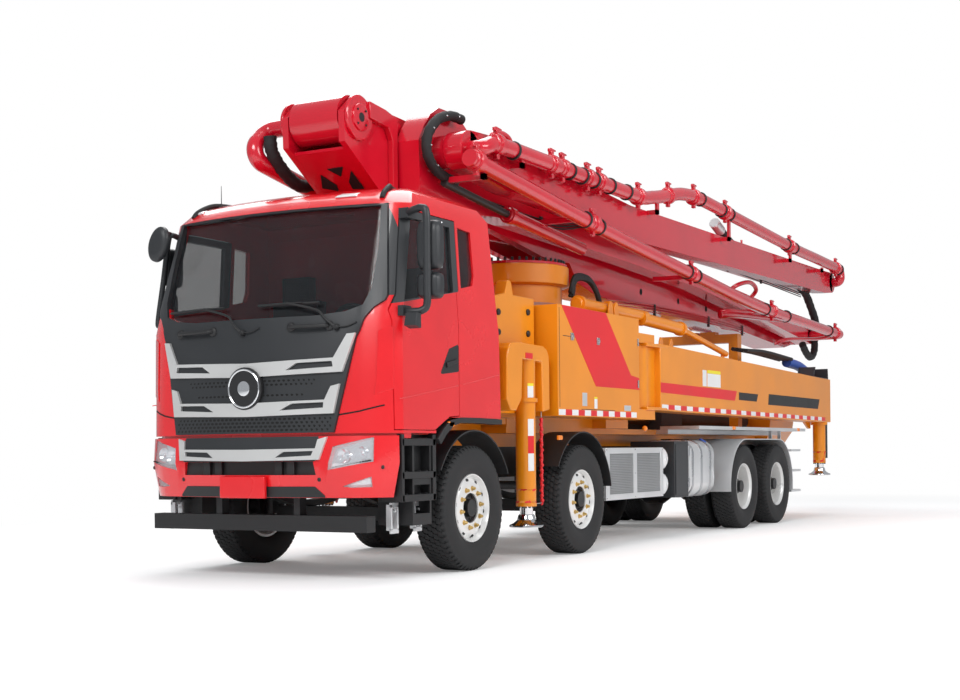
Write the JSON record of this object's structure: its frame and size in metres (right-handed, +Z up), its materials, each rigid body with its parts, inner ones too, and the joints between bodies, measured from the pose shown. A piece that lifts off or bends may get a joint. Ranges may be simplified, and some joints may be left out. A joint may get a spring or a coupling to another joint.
{
  "type": "concrete pump truck",
  "caption": "Four-axle concrete pump truck with a cab, folded placing boom on a slewing turret, swing-out outriggers with jack legs, pump unit and hopper.",
  "frame": {"origin": "middle of the overall length and width, on the ground", "axes": "+Z up, the truck faces -Y, its left side is +X"},
  "size_m": [3.02, 13.9099, 4.1098],
  "materials": {
    "red_paint": "glossy",
    "orange_paint": "glossy",
    "black_frame": "satin",
    "black_plastic": "satin",
    "anthracite": "satin",
    "aluminium": "brushed",
    "tyre": "matte",
    "glass": "tinted",
    "lamp": "clear",
    "white_paint": "satin",
    "grey_iron": "satin",
    "seat": "matte",
    "steel": "satin"
  },
  "bodies": {
    "root": {"chassis_frame": "black_frame", "axles": "black_frame", "leaf_springs": "black_frame", "engine_block": "grey_iron", "cab_shell": "red_paint", "cab_back": "red_paint", "cab_roof": "red_paint", "cab_glass": "glass", "grille_panel": "anthracite", "grille_trims": "aluminium", "bumper": "red_paint", "headlamps": "lamp", "cab_interior": "seat", "steps_and_underrun": "black_plastic", "front_mudguards": "black_plastic", "pedestal": "orange_paint", "deck": "orange_paint", "pump_unit": "grey_iron", "hopper": "orange_paint", "side_boxes": "aluminium", "air_tanks": "white_paint", "fuel_tanks": "aluminium", "rear_fenders": "aluminium", "walkways": "aluminium"},
    "turret": {"turret": "red_paint"},
    "arm_1": {"arm_1": "red_paint"},
    "arm_2": {"arm_2": "red_paint"},
    "arm_3": {"arm_3": "red_paint"},
    "arm_4": {"arm_4": "red_paint"},
    "arm_5": {"arm_5": "red_paint"},
    "lift_barrel": {"lift_barrel": "red_paint"},
    "lift_rod": {"lift_rod": "steel"},
    "wheel_1_left": {"wheel_1_left": "tyre"},
    "knuckle_1_left": {"knuckle_1_left": "black_frame"},
    "wheel_1_right": {"wheel_1_right": "tyre"},
    "knuckle_1_right": {"knuckle_1_right": "black_frame"},
    "wheel_2_left": {"wheel_2_left": "tyre"},
    "knuckle_2_left": {"knuckle_2_left": "black_frame"},
    "wheel_2_right": {"wheel_2_right": "tyre"},
    "knuckle_2_right": {"knuckle_2_right": "black_frame"},
    "wheel_3_left": {"wheel_3_left": "tyre"},
    "wheel_3_right": {"wheel_3_right": "tyre"},
    "wheel_4_left": {"wheel_4_left": "tyre"},
    "wheel_4_right": {"wheel_4_right": "tyre"},
    "door_left": {"door_left": "red_paint", "door_glass_left": "glass", "mirror_left": "anthracite"},
    "front_outrigger_left": {"front_outrigger_left": "orange_paint"},
    "rear_outrigger_left": {"rear_outrigger_left": "orange_paint"},
    "front_jack_left": {"front_jack_left": "steel"},
    "rear_jack_left": {"rear_jack_left": "steel"},
    "door_right": {"door_right": "red_paint", "door_glass_right": "glass", "mirror_right": "anthracite"},
    "front_outrigger_right": {"front_outrigger_right": "orange_paint"},
    "rear_outrigger_right": {"rear_outrigger_right": "orange_paint"},
    "front_jack_right": {"front_jack_right": "steel"},
    "rear_jack_right": {"rear_jack_right": "steel"}
  },
  "joints": [
    {"name": "steer_1_left", "type": "hinge", "parent": "root", "child": "knuckle_1_left", "pos_m": [0.905, -5.365, 0.53], "axis": [0, 0, 1], "range_deg": [-35, 35]},
    {"name": "spin_1_left", "type": "hinge", "parent": "knuckle_1_left", "child": "wheel_1_left", "pos_m": [1.085, -5.365, 0.53], "axis": [-1, 0, 0], "continuous": true},
    {"name": "steer_1_right", "type": "hinge", "parent": "root", "child": "knuckle_1_right", "pos_m": [-0.905, -5.365, 0.53], "axis": [0, 0, 1], "range_deg": [-35, 35]},
    {"name": "spin_1_right", "type": "hinge", "parent": "knuckle_1_right", "child": "wheel_1_right", "pos_m": [-1.085, -5.365, 0.53], "axis": [-1, 0, 0], "continuous": true},
    {"name": "steer_2_left", "type": "hinge", "parent": "root", "child": "knuckle_2_left", "pos_m": [0.905, -3.195, 0.53], "axis": [0, 0, 1], "range_deg": [-24.5, 24.5]},
    {"name": "spin_2_left", "type": "hinge", "parent": "knuckle_2_left", "child": "wheel_2_left", "pos_m": [1.085, -3.195, 0.53], "axis": [-1, 0, 0], "continuous": true},
    {"name": "steer_2_right", "type": "hinge", "parent": "root", "child": "knuckle_2_right", "pos_m": [-0.905, -3.195, 0.53], "axis": [0, 0, 1], "range_deg": [-24.5, 24.5]},
    {"name": "spin_2_right", "type": "hinge", "parent": "knuckle_2_right", "child": "wheel_2_right", "pos_m": [-1.085, -3.195, 0.53], "axis": [-1, 0, 0], "continuous": true},
    {"name": "spin_3_left", "type": "hinge", "parent": "root", "child": "wheel_3_left", "pos_m": [1.085, 1.635, 0.53], "axis": [-1, 0, 0], "continuous": true},
    {"name": "spin_3_right", "type": "hinge", "parent": "root", "child": "wheel_3_right", "pos_m": [-1.085, 1.635, 0.53], "axis": [-1, 0, 0], "continuous": true},
    {"name": "spin_4_left", "type": "hinge", "parent": "root", "child": "wheel_4_left", "pos_m": [1.085, 2.985, 0.53], "axis": [-1, 0, 0], "continuous": true},
    {"name": "spin_4_right", "type": "hinge", "parent": "root", "child": "wheel_4_right", "pos_m": [-1.085, 2.985, 0.53], "axis": [-1, 0, 0], "continuous": true},
    {"name": "open_door_left", "type": "hinge", "parent": "root", "child": "door_left", "pos_m": [1.262, -6.573, 1.6], "axis": [0, 0, -1], "range_deg": [0, 75]},
    {"name": "extend_front_outrigger_left", "type": "slide", "parent": "root", "child": "front_outrigger_left", "axis": [1, 0, 0], "range_m": [0, 1.5]},
    {"name": "lower_front_jack_left", "type": "slide", "parent": "front_outrigger_left", "child": "front_jack_left", "axis": [0, 0, -1], "range_m": [0, 0.31]},
    {"name": "swing_rear_outrigger_left", "type": "hinge", "parent": "root", "child": "rear_outrigger_left", "pos_m": [1.08, -1.515, 1.8], "axis": [0, 0, -1], "range_deg": [0, 80]},
    {"name": "lower_rear_jack_left", "type": "slide", "parent": "rear_outrigger_left", "child": "rear_jack_left", "axis": [0, 0, -1], "range_m": [0, 0.6]},
    {"name": "open_door_right", "type": "hinge", "parent": "root", "child": "door_right", "pos_m": [-1.262, -6.573, 1.6], "axis": [0, 0, 1], "range_deg": [0, 75]},
    {"name": "extend_front_outrigger_right", "type": "slide", "parent": "root", "child": "front_outrigger_right", "axis": [-1, 0, 0], "range_m": [0, 1.5]},
    {"name": "lower_front_jack_right", "type": "slide", "parent": "front_outrigger_right", "child": "front_jack_right", "axis": [0, 0, -1], "range_m": [0, 0.31]},
    {"name": "swing_rear_outrigger_right", "type": "hinge", "parent": "root", "child": "rear_outrigger_right", "pos_m": [-1.08, -1.515, 1.8], "axis": [0, 0, 1], "range_deg": [0, 80]},
    {"name": "lower_rear_jack_right", "type": "slide", "parent": "rear_outrigger_right", "child": "rear_jack_right", "axis": [0, 0, -1], "range_m": [0, 0.6]},
    {"name": "slew_turret", "type": "hinge", "parent": "root", "child": "turret", "pos_m": [0, -4.265, 2.6], "axis": [0, 0, 1], "range_deg": [0, 360]},
    {"name": "lift_arm_1", "type": "hinge", "parent": "turret", "child": "arm_1", "pos_m": [0, -5.735, 3.87], "axis": [1, 0, 0], "range_deg": [0, 85]},
    {"name": "unfold_arm_2", "type": "hinge", "parent": "arm_1", "child": "arm_2", "pos_m": [0, 6.785, 2.82], "axis": [-1, 0, 0], "range_deg": [0, 180]},
    {"name": "unfold_arm_3", "type": "hinge", "parent": "arm_2", "child": "arm_3", "pos_m": [0, -4.845, 3.69], "axis": [1, 0, 0], "range_deg": [0, 180]},
    {"name": "unfold_arm_4", "type": "hinge", "parent": "arm_3", "child": "arm_4", "pos_m": [0, 6.785, 3.62], "axis": [-1, 0, 0], "range_deg": [0, 180]},
    {"name": "unfold_arm_5", "type": "hinge", "parent": "arm_4", "child": "arm_5", "pos_m": [0, -1.965, 3.62], "axis": [1, 0, 0], "range_deg": [0, 110]},
    {"name": "tilt_lift_barrel", "type": "hinge", "parent": "turret", "child": "lift_barrel", "pos_m": [0, -4.735, 3.27], "axis": [1, 0, 0], "range_deg": [0, 90.88]},
    {"name": "extend_lift_rod", "type": "slide", "parent": "lift_barrel", "child": "lift_rod", "axis": [0, 0.9999, 0.0168], "range_m": [0, 1.5428]}
  ],
  "couplings": [
    {"joint": "steer_1_right", "follows": "steer_1_left", "ratio": 1},
    {"joint": "steer_2_left", "follows": "steer_1_left", "ratio": 0.7},
    {"joint": "steer_2_right", "follows": "steer_1_left", "ratio": 0.7},
    {"joint": "tilt_lift_barrel", "follows": "lift_arm_1", "ratio": 1.0633},
    {"joint": "extend_lift_rod", "follows": "lift_arm_1", "m_per_rad": 1.0366}
  ]
}
